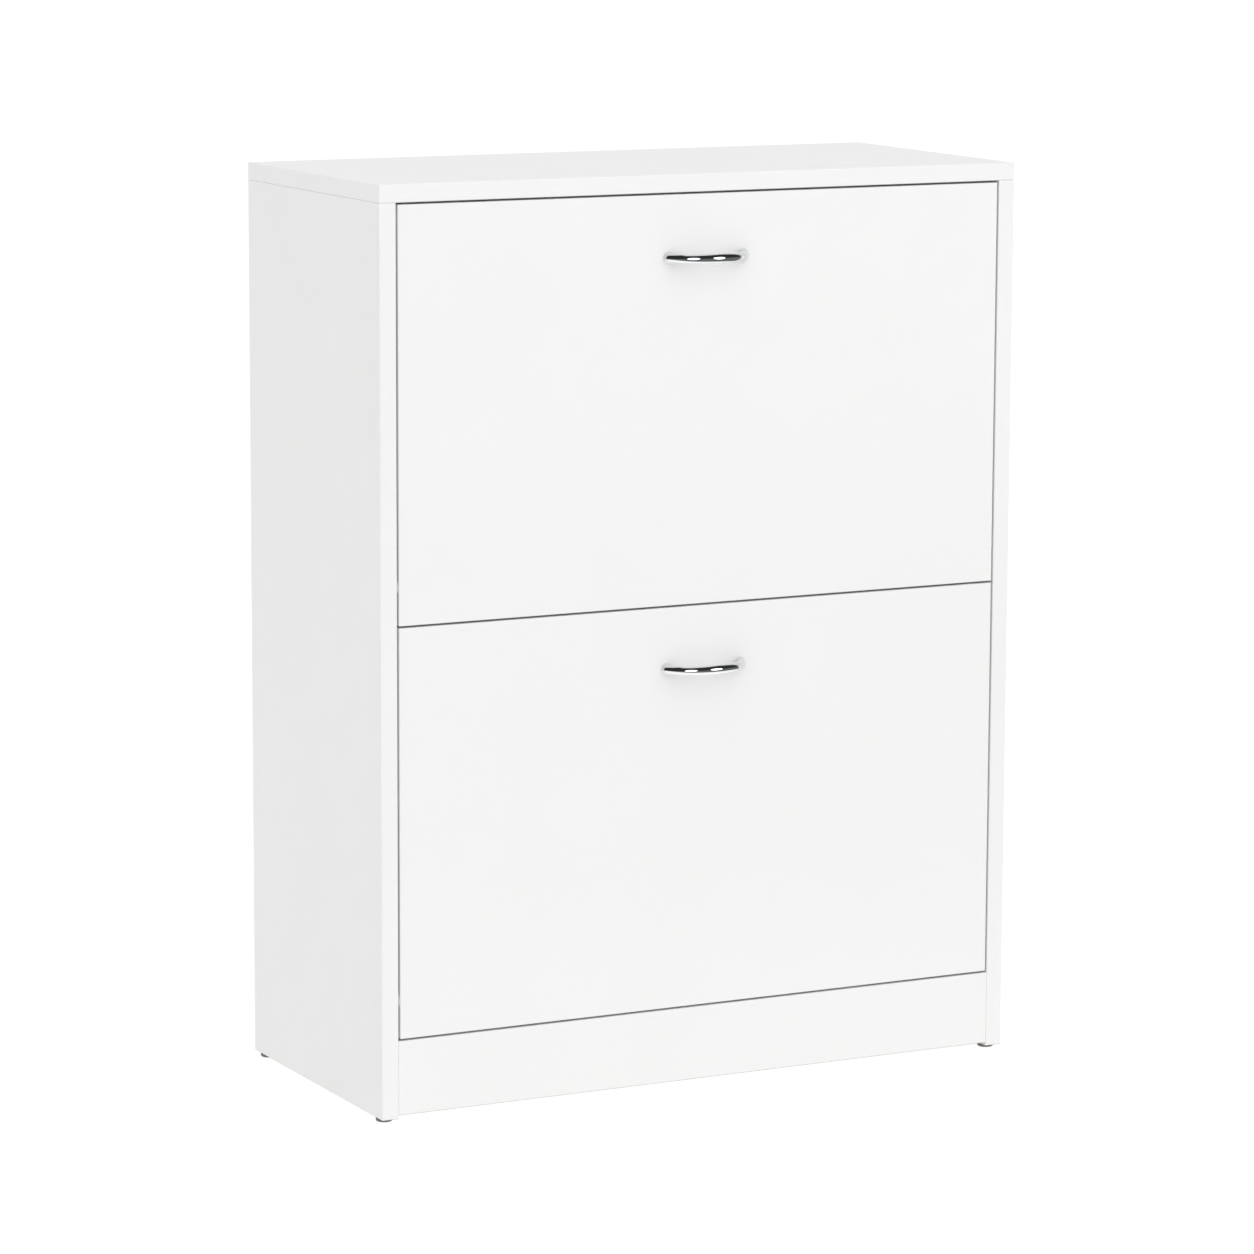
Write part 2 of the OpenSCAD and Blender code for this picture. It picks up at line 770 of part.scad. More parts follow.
top_panel();
side_panel_left();
side_panel_right();
bottom_panel();
middle_shelf();
plinth();
front_top_rail();
rear_top_rail();
back_panel_upper();
back_panel_lower();
back_joint_strip();
back_panel_nails();
glide_front_left();
glide_front_right();
glide_rear_left();
glide_rear_right();
glide_nails();
cam_bolts();
cam_locks();
dowels();
pivot_pin_upper_left();
pivot_pin_upper_right();
pivot_pin_lower_left();
pivot_pin_lower_right();
stop_stud_upper_left();
stop_stud_upper_right();
stop_stud_lower_left();
stop_stud_lower_right();
bumpers_upper();
bumpers_lower();
flap_front_upper();
handle_upper();
handle_screws_upper();
pivot_bushes_upper();
rack_side_upper_left();
rack_side_upper_right();
rack_floor_upper();
rack_divider_upper();
rack_rear_floor_upper();
rack_rear_board_upper();
rack_screws_upper();
flap_front_lower();
handle_lower();
handle_screws_lower();
pivot_bushes_lower();
rack_side_lower_left();
rack_side_lower_right();
rack_floor_lower();
rack_divider_lower();
rack_rear_floor_lower();
rack_rear_board_lower();
rack_screws_lower();
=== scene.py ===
"""White shoe cabinet with two tip-out flaps: its finishes, handles, glides and studio."""

import math

import bpy
import numpy as np
from mathutils import Euler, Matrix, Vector


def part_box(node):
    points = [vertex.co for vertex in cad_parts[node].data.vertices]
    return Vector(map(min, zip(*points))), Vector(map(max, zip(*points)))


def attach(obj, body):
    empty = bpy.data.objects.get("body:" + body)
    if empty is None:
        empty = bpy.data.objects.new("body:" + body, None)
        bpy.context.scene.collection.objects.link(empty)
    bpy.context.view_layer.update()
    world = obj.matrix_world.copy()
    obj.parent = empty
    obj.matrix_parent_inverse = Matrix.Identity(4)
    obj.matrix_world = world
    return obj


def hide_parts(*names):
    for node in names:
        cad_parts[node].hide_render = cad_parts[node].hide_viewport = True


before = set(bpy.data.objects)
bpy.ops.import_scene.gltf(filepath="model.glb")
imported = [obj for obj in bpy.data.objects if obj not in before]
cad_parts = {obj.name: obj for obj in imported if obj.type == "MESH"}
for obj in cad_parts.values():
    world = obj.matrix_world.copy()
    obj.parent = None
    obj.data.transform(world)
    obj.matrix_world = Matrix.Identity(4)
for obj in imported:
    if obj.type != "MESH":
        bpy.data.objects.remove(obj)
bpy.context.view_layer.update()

MM = 0.001

# ---- Studio ----

LENS = 147.58
VIEW_YAW = 27.09
VIEW_PITCH = 9.41
VIEW_ROLL = 0.23
# from the lower front left corner of the cabinet's left side
CAMERA_OFFSET = Vector((-1.7144, -3.7954, 1.1078))
FLOOR_HALF = 80.0
ROOM_LIGHT = 0.98
KEY_LIGHT = 0.90
KEY_WAY = (0.11, -0.69, 0.72)
FLOOR_GLOW = 0.79
FLOOR_SEEN = 0.96
DARK_FRONT = 0.035
LAMP_LIGHT = 4.0
HANDLE_HEIGHT = 0.54
# directions in the reflected room, in degrees: from the front towards the right, and up
DARK_ACROSS = (-120, 82)
DARK_UP = (-34, 60)
DARK_LIFT = -24
LAMP_UP = 4.0
LEFT_LAMP = (-15, 12.5, 13)
RIGHT_LAMP = (31, 10.5, 12)

# ---- Finishes, as linear colours ----

FOIL_WHITE = (0.862, 0.862, 0.858, 1)
FOIL_SHADE = (0.856, 0.856, 0.851, 1)
CHIP_DARK = (0.30, 0.20, 0.115, 1)
CHIP_LIGHT = (0.56, 0.42, 0.27, 1)
HARDBOARD_DARK = (0.125, 0.070, 0.036, 1)
HARDBOARD_LIGHT = (0.235, 0.142, 0.078, 1)
PLASTIC_WHITE = (0.74, 0.74, 0.73, 1)
PLASTIC_GREY = (0.165, 0.165, 0.168, 1)
CHROME = (0.86, 0.87, 0.885, 1)
ZINC = (0.62, 0.64, 0.67, 1)
ZINC_DULL = (0.42, 0.43, 0.45, 1)
BEECH_LIGHT = (0.60, 0.42, 0.25, 1)
BEECH_DARK = (0.42, 0.26, 0.13, 1)
FELT_LIGHT = (0.62, 0.61, 0.59, 1)
FELT_DARK = (0.44, 0.43, 0.41, 1)


# ---- Node trees in short calls ----

def add(tree, kind, inputs=None, **settings):
    """A new node with its settings, and its inputs given as values or as sockets to link."""
    made = tree.nodes.new(kind)
    for name, value in settings.items():
        setattr(made, name, value)
    for name, value in (inputs or {}).items():
        if isinstance(value, bpy.types.NodeSocket):
            tree.links.new(value, made.inputs[name])
        else:
            made.inputs[name].default_value = value
    return made


def sum_of(tree, operation, *values):
    """The output of a Math node on two or three values."""
    return add(tree, "ShaderNodeMath", dict(enumerate(values)), operation=operation).outputs[0]


def ramp(tree, value, low, high, to_low=0.0, to_high=1.0):
    """value from low..high carried smoothly to to_low..to_high, and held at the ends."""
    inputs = {0: value, 1: low, 2: high, 3: to_low, 4: to_high}
    return add(tree, "ShaderNodeMapRange", inputs, interpolation_type="SMOOTHSTEP").outputs[0]


def noise(tree, place, scale, detail=2.0, roughness=0.5):
    """A noise value around 0.5; scale is in waves a metre."""
    inputs = {"Vector": place, "Scale": scale, "Detail": detail, "Roughness": roughness}
    return add(tree, "ShaderNodeTexNoise", inputs).outputs["Fac"]


def stretched(tree, place, factors):
    """The place with each axis multiplied, to draw a pattern out along one of them."""
    return add(tree, "ShaderNodeMapping", {"Vector": place, "Scale": factors}).outputs[0]


def blend_colour(tree, share, low, high):
    """A colour between low and high."""
    return add(tree, "ShaderNodeMix", {0: share, 6: low, 7: high}, data_type="RGBA").outputs[2]


def new_group(name, inputs, outputs):
    """An empty node group with its sockets, and its input and output nodes."""
    tree = bpy.data.node_groups.new(name, "ShaderNodeTree")
    for label, kind, default in inputs:
        socket = tree.interface.new_socket(label, in_out="INPUT", socket_type="NodeSocket" + kind)
        socket.default_value = default
    for label, kind in outputs:
        tree.interface.new_socket(label, in_out="OUTPUT", socket_type="NodeSocket" + kind)
    return tree, tree.nodes.new("NodeGroupInput"), tree.nodes.new("NodeGroupOutput")


def use(tree, group, inputs):
    """Places a group in a material with its own values, and returns its outputs by name."""
    return add(tree, "ShaderNodeGroup", inputs, node_tree=group).outputs


def make_edge_group():
    """How near a place on a board is to an edge: 1 on the edge, 0 at the given width from it.

    On a face one of the three distances to the board's sides is nothing, so the second
    smallest of them is the distance to the nearest edge.
    """
    tree, given, out = new_group(
        "board_edges",
        [("Place", "Vector", (0, 0, 0)), ("Low", "Vector", (0, 0, 0)),
         ("High", "Vector", (1, 1, 1)), ("Width", "Float", 0.002)],
        [("Mask", "Float")])
    sub = {"operation": "SUBTRACT"}
    here = given.outputs["Place"]
    below = add(tree, "ShaderNodeVectorMath", {0: here, 1: given.outputs["Low"]}, **sub)
    above = add(tree, "ShaderNodeVectorMath", {0: given.outputs["High"], 1: here}, **sub)
    near = add(tree, "ShaderNodeVectorMath", {0: below.outputs[0], 1: above.outputs[0]},
               operation="MINIMUM")
    parts = add(tree, "ShaderNodeSeparateXYZ", {0: near.outputs[0]}).outputs
    x, y, z = parts["X"], parts["Y"], parts["Z"]
    first = sum_of(tree, "MINIMUM", x, y)
    second = sum_of(tree, "MAXIMUM", x, y)
    middle = sum_of(tree, "MAXIMUM", first, sum_of(tree, "MINIMUM", second, z))
    tree.links.new(ramp(tree, middle, 0.0, given.outputs["Width"], 1.0, 0.0), out.inputs["Mask"])
    return tree


def make_face_group():
    """1 within a hair of one side of a board and 0 elsewhere: Along picks the axis by its one
    that isn't 0, with its sign for the low or the high side."""
    tree, given, out = new_group(
        "one_face",
        [("Place", "Vector", (0, 0, 0)), ("Corner", "Vector", (0, 0, 0)),
         ("Along", "Vector", (0, 1, 0)), ("Depth", "Float", 0.0004)],
        [("Mask", "Float")])
    gap = add(tree, "ShaderNodeVectorMath", {0: given.outputs["Corner"], 1: given.outputs["Place"]},
              operation="SUBTRACT")
    depth = add(tree, "ShaderNodeVectorMath", {0: gap.outputs[0], 1: given.outputs["Along"]},
                operation="DOT_PRODUCT")
    mask = sum_of(tree, "LESS_THAN", depth.outputs["Value"], given.outputs["Depth"])
    tree.links.new(mask, out.inputs["Mask"])
    return tree


def make_foil_group():
    """The skin of a foil-wrapped board: a faint cloudiness of shade, the soft orange peel of
    the foil over the chips, and patches that are a little more or less matt."""
    tree, given, out = new_group(
        "foil_skin",
        [("Place", "Vector", (0, 0, 0)), ("Peel", "Float", 240.0), ("Matt", "Float", 0.4)],
        [("Shade", "Float"), ("Height", "Float"), ("Roughness", "Float")])
    place = given.outputs["Place"]
    cloud = noise(tree, place, 7.0, 2.0)
    tree.links.new(ramp(tree, cloud, 0.35, 0.65), out.inputs["Shade"])
    peel = noise(tree, place, given.outputs["Peel"], 1.0)
    dimple = noise(tree, place, 1500.0, 1.0)
    height = sum_of(tree, "MULTIPLY_ADD", dimple, 0.25, peel)
    tree.links.new(height, out.inputs["Height"])
    patch = ramp(tree, noise(tree, place, 30.0, 3.0), 0.3, 0.7, -0.035, 0.035)
    tree.links.new(sum_of(tree, "ADD", given.outputs["Matt"], patch), out.inputs["Roughness"])
    return tree


def make_chip_group():
    """A sawn edge of particle board: pressed chips of a few millimetres in two tones, with
    pits between them."""
    tree, given, out = new_group(
        "chip_core", [("Place", "Vector", (0, 0, 0)), ("Chips", "Float", 420.0)],
        [("Tone", "Float"), ("Height", "Float")])
    place, chips = given.outputs["Place"], given.outputs["Chips"]
    cells = add(tree, "ShaderNodeTexVoronoi", {"Vector": place, "Scale": chips})
    tone = add(tree, "ShaderNodeSeparateColor", {0: cells.outputs["Color"]}).outputs[0]
    fleck = noise(tree, place, 900.0, 3.0)
    tree.links.new(sum_of(tree, "MULTIPLY_ADD", fleck, 0.5, sum_of(tree, "MULTIPLY", tone, 0.6)),
                   out.inputs["Tone"])
    pits = ramp(tree, cells.outputs["Distance"], 0.1, 0.7, 1.0, 0.0)
    tree.links.new(pits, out.inputs["Height"])
    return tree


def make_grain_group():
    """The fine spark-eroded grain of moulded plastic, with slow waves of shrinkage."""
    tree, given, out = new_group(
        "moulded_grain", [("Place", "Vector", (0, 0, 0)), ("Grain", "Float", 1400.0)],
        [("Height", "Float"), ("Wave", "Float")])
    place = given.outputs["Place"]
    tree.links.new(noise(tree, place, given.outputs["Grain"], 2.0, 0.6), out.inputs["Height"])
    tree.links.new(noise(tree, place, 22.0, 1.0), out.inputs["Wave"])
    return tree


def make_scuff_group():
    """Hairline handling marks: drawn-out noise, kept only where it is strongest."""
    tree, given, out = new_group(
        "hairlines", [("Place", "Vector", (0, 0, 0)), ("Lines", "Float", 1.0)], [("Mask", "Float")])
    drawn = stretched(tree, given.outputs["Place"], (60.0, 900.0, 900.0))
    lines = noise(tree, drawn, given.outputs["Lines"], 2.0)
    patches = noise(tree, given.outputs["Place"], 45.0, 2.0)
    both = sum_of(tree, "MULTIPLY", ramp(tree, lines, 0.58, 0.72), ramp(tree, patches, 0.45, 0.7))
    tree.links.new(both, out.inputs["Mask"])
    return tree


EDGES = make_edge_group()
ONE_FACE = make_face_group()
FOIL = make_foil_group()
CHIPS = make_chip_group()
GRAIN = make_grain_group()
HAIRLINES = make_scuff_group()


# ---- Materials ----

def new_material(name, **shader):
    """A material with a Principled shader whose own sockets take the given constant values."""
    material = bpy.data.materials.new(name)
    material.use_nodes = True
    tree = material.node_tree
    body = next(n for n in tree.nodes if n.type == "BSDF_PRINCIPLED")
    for label, value in shader.items():
        body.inputs[label.replace("_", " ")].default_value = value
    place = add(tree, "ShaderNodeTexCoord").outputs["Object"]
    return material, tree, body, place


def bump(tree, body, height, strength, distance):
    """Feeds a height to the shader's normal; distance is how deep it is, in metres."""
    made = add(tree, "ShaderNodeBump", {"Height": height, "Strength": strength, "Distance": distance})
    tree.links.new(made.outputs[0], body.inputs["Normal"])


def foil_board(node, raw=()):
    """White foil over particle board. raw lists the sawn faces as (axis, side) pairs: there the
    chips show. The foil is a touch smoother where it is pulled round the edges."""
    low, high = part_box(node)
    material, tree, body, place = new_material("foil_" + node, Coat_Roughness=0.28,
                                               Specular_IOR_Level=0.42)
    skin = use(tree, FOIL, {"Place": place, "Matt": 0.40})
    edge = use(tree, EDGES, {"Place": place, "Low": low, "High": high, "Width": 1.6 * MM})["Mask"]
    colour = blend_colour(tree, skin["Shade"], FOIL_SHADE, FOIL_WHITE)
    rough = sum_of(tree, "MULTIPLY_ADD", edge, -0.10, skin["Roughness"])
    height = skin["Height"]
    coat = sum_of(tree, "MULTIPLY_ADD", edge, 0.15, 0.10)
    if raw:
        bare = None
        for axis, side in raw:
            along = [0.0, 0.0, 0.0]
            along[axis] = side
            corner = high if side > 0 else low
            face = use(tree, ONE_FACE, {"Place": place, "Corner": corner, "Along": along})["Mask"]
            bare = face if bare is None else sum_of(tree, "MAXIMUM", bare, face)
        core = use(tree, CHIPS, {"Place": place})
        wood = blend_colour(tree, core["Tone"], CHIP_DARK, CHIP_LIGHT)
        colour = blend_colour(tree, bare, colour, wood)
        rough = sum_of(tree, "MULTIPLY_ADD", bare, 0.45, rough)
        deeper = sum_of(tree, "MULTIPLY", bare, 14.0)
        height = sum_of(tree, "MULTIPLY_ADD", deeper, core["Height"], height)
        coat = sum_of(tree, "MULTIPLY", coat, sum_of(tree, "SUBTRACT", 1.0, bare))
    tree.links.new(colour, body.inputs["Base Color"])
    tree.links.new(rough, body.inputs["Roughness"])
    tree.links.new(coat, body.inputs["Coat Weight"])
    bump(tree, body, height, 0.5, 0.02 * MM)
    return material


def hardboard(node):
    """3 mm hardboard: printed white on the inside, bare brown fibre on the outside."""
    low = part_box(node)[0]
    material, tree, body, place = new_material("hardboard_" + node)
    skin = use(tree, FOIL, {"Place": place, "Peel": 420.0, "Matt": 0.55})
    white = blend_colour(tree, skin["Shade"], FOIL_SHADE, FOIL_WHITE)
    inside = use(tree, ONE_FACE, {"Place": place, "Corner": low, "Along": (0, -1, 0)})["Mask"]
    fibre = noise(tree, stretched(tree, place, (900.0, 900.0, 500.0)), 1.0, 4.0, 0.65)
    cloud = noise(tree, place, 12.0, 3.0)
    tone = sum_of(tree, "MULTIPLY_ADD", cloud, 0.25, sum_of(tree, "MULTIPLY", fibre, 0.85))
    brown = blend_colour(tree, ramp(tree, tone, 0.3, 0.8), HARDBOARD_DARK, HARDBOARD_LIGHT)
    tree.links.new(blend_colour(tree, inside, brown, white), body.inputs["Base Color"])
    rough = sum_of(tree, "MULTIPLY_ADD", inside, -0.25, 0.8)
    tree.links.new(rough, body.inputs["Roughness"])
    bump(tree, body, sum_of(tree, "MULTIPLY_ADD", fibre, 4.0, skin["Height"]), 0.6, 0.03 * MM)
    return material


def moulded(name, colour, roughness, relief):
    """Moulded plastic: even colour with slow waves, fine grain, and a few hairlines."""
    material, tree, body, place = new_material(name, Specular_IOR_Level=0.45)
    grain = use(tree, GRAIN, {"Place": place})
    darker = tuple(0.93 * c for c in colour[:3]) + (1,)
    tree.links.new(blend_colour(tree, grain["Wave"], darker, colour), body.inputs["Base Color"])
    scuffs = use(tree, HAIRLINES, {"Place": place})["Mask"]
    tree.links.new(sum_of(tree, "MULTIPLY_ADD", scuffs, -0.12, roughness), body.inputs["Roughness"])
    bump(tree, body, grain["Height"], 0.45, relief)
    return material


def chrome_plate():
    """Polished chrome plate: a mirror with faint polishing lines and a breath of haze."""
    material, tree, body, place = new_material("chrome_plate", Metallic=1.0)
    scuffs = use(tree, HAIRLINES, {"Place": place, "Lines": 1.4})["Mask"]
    haze = ramp(tree, noise(tree, place, 160.0, 3.0), 0.4, 0.75, 0.035, 0.075)
    tree.links.new(sum_of(tree, "MULTIPLY_ADD", scuffs, 0.06, haze), body.inputs["Roughness"])
    tint = blend_colour(tree, noise(tree, place, 60.0), CHROME, (0.82, 0.835, 0.855, 1))
    tree.links.new(tint, body.inputs["Base Color"])
    bump(tree, body, noise(tree, place, 520.0, 2.0), 0.12, 0.004 * MM)
    return material


def zinc_plate():
    """Zinc-plated steel: cloudy crystals of plating, half dull."""
    material, tree, body, place = new_material("zinc_plate", Metallic=1.0)
    cells = add(tree, "ShaderNodeTexVoronoi", {"Vector": place, "Scale": 700.0})
    tone = add(tree, "ShaderNodeSeparateColor", {0: cells.outputs["Color"]}).outputs[0]
    cloud = sum_of(tree, "MULTIPLY_ADD", noise(tree, place, 260.0, 3.0), 0.7,
                   sum_of(tree, "MULTIPLY", tone, 0.3))
    tree.links.new(blend_colour(tree, cloud, ZINC_DULL, ZINC), body.inputs["Base Color"])
    tree.links.new(ramp(tree, cloud, 0.2, 0.8, 0.42, 0.24), body.inputs["Roughness"])
    bump(tree, body, cloud, 0.3, 0.01 * MM)
    return material


def beech_wood():
    """Beech: fine grain drawn out along the dowels, with darker rays."""
    material, tree, body, place = new_material("beech_wood", Roughness=0.6)
    along = stretched(tree, place, (120.0, 900.0, 900.0))
    grain = noise(tree, along, 1.0, 3.0)
    tree.links.new(blend_colour(tree, ramp(tree, grain, 0.35, 0.65), BEECH_DARK, BEECH_LIGHT),
                   body.inputs["Base Color"])
    bump(tree, body, grain, 0.4, 0.05 * MM)
    return material


def felt_cloth():
    """Pressed felt: matted fibres in two tones, matt and soft at the edge of the light."""
    material, tree, body, place = new_material("felt_cloth", Roughness=0.95, Sheen_Weight=0.5)
    fibres = noise(tree, place, 2600.0, 5.0, 0.75)
    tree.links.new(blend_colour(tree, ramp(tree, fibres, 0.3, 0.7), FELT_DARK, FELT_LIGHT),
                   body.inputs["Base Color"])
    bump(tree, body, fibres, 0.9, 0.15 * MM)
    return material


# ---- Surfaces ----

def grid_mesh(name, points):
    """A smooth closed mesh over a grid of points (rows, columns, 3) whose columns close on
    themselves.

    Each quad joins four neighbours of the grid, and a fan to its middle closes the first and
    the last row.
    """
    rows, columns = points.shape[:2]
    index = np.arange(rows * columns).reshape(rows, columns)
    lower, upper = index[:-1], index[1:]
    quads = np.stack([lower, np.roll(lower, -1, axis=1), np.roll(upper, -1, axis=1), upper], axis=-1)
    faces = quads.reshape(-1, 4).tolist()
    middle = rows * columns
    vertices = np.vstack([points.reshape(-1, 3), points[0].mean(axis=0), points[-1].mean(axis=0)])
    for ring, centre, flip in ((index[0], middle, True), (index[-1], middle + 1, False)):
        fan = np.stack([ring, np.roll(ring, -1), np.full(columns, centre)], axis=-1)
        faces += (fan[:, ::-1] if flip else fan).tolist()
    mesh = bpy.data.meshes.new(name)
    mesh.from_pydata(vertices.tolist(), [], faces)
    mesh.validate()
    mesh.polygons.foreach_set("use_smooth", np.ones(len(mesh.polygons), dtype=bool))
    mesh.update()
    piece = bpy.data.objects.new(name, mesh)
    bpy.context.scene.collection.objects.link(piece)
    return piece


def outward(piece):
    """Turns the piece round if its faces point inwards, read from the sign of its volume."""
    mesh = piece.data
    mesh.calc_loop_triangles()
    corners = np.empty(len(mesh.vertices) * 3)
    mesh.vertices.foreach_get("co", corners)
    triangles = np.empty(len(mesh.loop_triangles) * 3, dtype=np.int32)
    mesh.loop_triangles.foreach_get("vertices", triangles)
    a, b, c = corners.reshape(-1, 3)[triangles.reshape(-1, 3)].transpose(1, 0, 2)
    if np.einsum("ij,ij->i", a, np.cross(b, c)).sum() < 0:
        mesh.flip_normals()
    return piece


def sharpen(piece, degrees):
    """Keeps the edges sharper than this angle crisp."""
    piece.data.set_sharp_from_angle(angle=math.radians(degrees))
    return piece


def arc(centre, radius, start, end, count):
    """Points on a circle, from one angle to another in degrees."""
    turn = np.radians(np.linspace(start, end, count))
    return np.column_stack([centre[0] + radius * np.cos(turn), centre[1] + radius * np.sin(turn)])


def lathe(name, profile, centre, columns=48):
    """A surface of revolution about an upright axis: each profile point (radius, height) is
    carried round a circle."""
    turn = np.linspace(0, 2 * np.pi, columns, endpoint=False)
    radius, height = np.asarray(profile, float).T
    points = np.empty((len(radius), columns, 3))
    points[..., 0] = centre[0] + radius[:, None] * np.cos(turn)
    points[..., 1] = centre[1] + radius[:, None] * np.sin(turn)
    points[..., 2] = centre[2] + height[:, None]
    return outward(grid_mesh(name, points))


# ---- Handles ----

ARCH_SET_BACK = 8.0 * MM
FOOT_LENGTH = 10.2 * MM
BOW_THICK = 5.4 * MM
HALF_BOW = 4.15 * MM
FOOT_FLARE = 1.55 * MM
FLARE_OUT = 8.0 * MM


def arch(half_width, depth, steps):
    """Points (x, out) along an arch: the part of an ellipse that stands out of the flap when the
    ellipse's middle lies set back behind it."""
    reach = depth + ARCH_SET_BACK
    start = np.arcsin(ARCH_SET_BACK / reach)
    turn = np.linspace(start, np.pi - start, steps)
    across = half_width * np.cos(turn) / np.cos(start)
    return np.column_stack([across, reach * np.sin(turn) - ARCH_SET_BACK])


def bow_handle(name, node, body):
    """A cast bow handle: oval sections stand between an outer and an inner arch, so the bow is
    slim at its middle and stout at its feet, where it also flares up and down."""
    low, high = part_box(node)
    middle = (low + high) / 2
    half_width, depth = (high.x - low.x) / 2, high.y - low.y
    outer = arch(half_width, depth, 121)
    inner = arch(half_width - FOOT_LENGTH, depth - BOW_THICK, 121)
    centre, reach = (outer + inner) / 2, (outer - inner) / 2
    flare = np.clip(1 - centre[:, 1] / FLARE_OUT, 0, 1) ** 2
    half_height = HALF_BOW + FOOT_FLARE * flare
    turn = np.linspace(0, 2 * np.pi, 56, endpoint=False)
    plan = centre[:, None] + reach[:, None] * np.cos(turn)[None, :, None]
    points = np.empty((len(outer), len(turn), 3))
    points[..., 0] = middle.x + plan[..., 0]
    points[..., 1] = high.y - plan[..., 1]
    points[..., 2] = middle.z + half_height[:, None] * np.sin(turn)
    piece = sharpen(outward(grid_mesh(name, points)), 50)
    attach(piece, body)
    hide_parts(node)
    return piece


# ---- Glides ----

def glide(name, node, body="cabinet"):
    """A nail-on glide: a low plastic disc with a rounded tread, a soft upper rim and the sunk
    head of its nail."""
    low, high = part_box(node)
    radius, height = (high.x - low.x) / 2, high.z - low.z
    tread, rim, sunk = 1.3 * MM, 0.4 * MM, 2.6 * MM
    profile = np.vstack([
        [[0.15 * MM, 0.7 * MM], [sunk - 0.3 * MM, 0.7 * MM]],
        arc((sunk + 0.3 * MM, 0.4 * MM), 0.4 * MM, 180, 270, 5),
        arc((radius - tread, tread), tread, -90, 0, 9),
        arc((radius - rim, height - rim), rim, 0, 90, 5),
        [[0.15 * MM, height]],
    ])
    centre = ((low.x + high.x) / 2, (low.y + high.y) / 2, low.z)
    piece = sharpen(lathe(name, profile, centre, 64), 60)
    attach(piece, body)
    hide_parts(node)
    return piece


# ---- The studio ----

def make_camera():
    """A long lens from the front left, a little above the top."""
    data = bpy.data.cameras.new("camera")
    data.lens = LENS
    data.sensor_width = 36.0
    data.clip_end = 500.0
    camera = bpy.data.objects.new("camera", data)
    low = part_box("side_panel_left")[0]
    camera.location = Vector((low.x, low.y, low.z)) + CAMERA_OFFSET
    tilt = Euler((math.radians(90 - VIEW_PITCH), 0, math.radians(-VIEW_YAW)), "XYZ").to_quaternion()
    roll = Euler((0, 0, math.radians(VIEW_ROLL)), "XYZ").to_quaternion()
    camera.rotation_mode = "QUATERNION"
    camera.rotation_quaternion = tilt @ roll
    bpy.context.scene.collection.objects.link(camera)
    bpy.context.scene.camera = camera


def make_floor(material):
    """A wide flat floor under the cabinet."""
    across = np.linspace(-FLOOR_HALF, FLOOR_HALF, 3)
    x, y = np.meshgrid(across, across, indexing="ij")
    vertices = np.column_stack([x.ravel(), y.ravel(), np.zeros(x.size)])
    index = np.arange(9).reshape(3, 3)
    faces = np.stack([index[:-1, :-1], index[1:, :-1], index[1:, 1:], index[:-1, 1:]], axis=-1)
    mesh = bpy.data.meshes.new("floor")
    mesh.from_pydata(vertices.tolist(), [], faces.reshape(-1, 4).tolist())
    mesh.materials.append(material)
    floor = bpy.data.objects.new("floor", mesh)
    bpy.context.scene.collection.objects.link(floor)


def window(tree, value, low, high, soft):
    """1 between two angles in degrees, with soft edges."""
    rise = ramp(tree, value, math.radians(low - soft), math.radians(low + soft))
    fall = ramp(tree, value, math.radians(high - soft), math.radians(high + soft), 1.0, 0.0)
    return sum_of(tree, "MULTIPLY", rise, fall)


def lamp_oval(tree, azimuth, height, middle, half_width, half_height):
    """1 inside an oval of the given size in degrees, round a direction in the studio."""
    across = sum_of(tree, "MULTIPLY_ADD", azimuth, 1 / math.radians(half_width), -middle / half_width)
    up = sum_of(tree, "MULTIPLY_ADD", height, 1 / math.radians(half_height), -LAMP_UP / half_height)
    squares = sum_of(tree, "ADD", sum_of(tree, "POWER", sum_of(tree, "ABSOLUTE", across), 2.0),
                     sum_of(tree, "POWER", sum_of(tree, "ABSOLUTE", up), 2.0))
    return ramp(tree, squares, 0.75, 1.15, 1.0, 0.0)


def make_reflected_room():
    """What polished metal sees of the studio: white all round and overhead, but dark to the
    front, with two soft oval lamps low in the dark."""
    tree, given, out = new_group("reflected_room", [("Way", "Vector", (0, 0, 1))], [("Light", "Float")])
    way = add(tree, "ShaderNodeVectorMath", {0: given.outputs["Way"]}, operation="NORMALIZE").outputs[0]
    parts = add(tree, "ShaderNodeSeparateXYZ", {0: way}).outputs
    to_front = sum_of(tree, "MULTIPLY", parts["Y"], -1.0)
    azimuth = sum_of(tree, "ARCTAN2", parts["X"], to_front)
    height = sum_of(tree, "ARCSINE", parts["Z"])
    lifted = sum_of(tree, "MULTIPLY_ADD", ramp(tree, azimuth, math.radians(-95), 0.0, 1.0, 0.0),
                    math.radians(DARK_LIFT), height)
    dark = sum_of(tree, "MULTIPLY", window(tree, azimuth, *DARK_ACROSS, 6),
                  window(tree, lifted, *DARK_UP, 3))
    lamps = sum_of(tree, "ADD", lamp_oval(tree, azimuth, height, *LEFT_LAMP),
                   lamp_oval(tree, azimuth, height, *RIGHT_LAMP))
    room = sum_of(tree, "MULTIPLY_ADD", dark, DARK_FRONT - 1.0, 1.0)
    tree.links.new(sum_of(tree, "MULTIPLY_ADD", lamps, LAMP_LIGHT, room), out.inputs["Light"])
    return tree


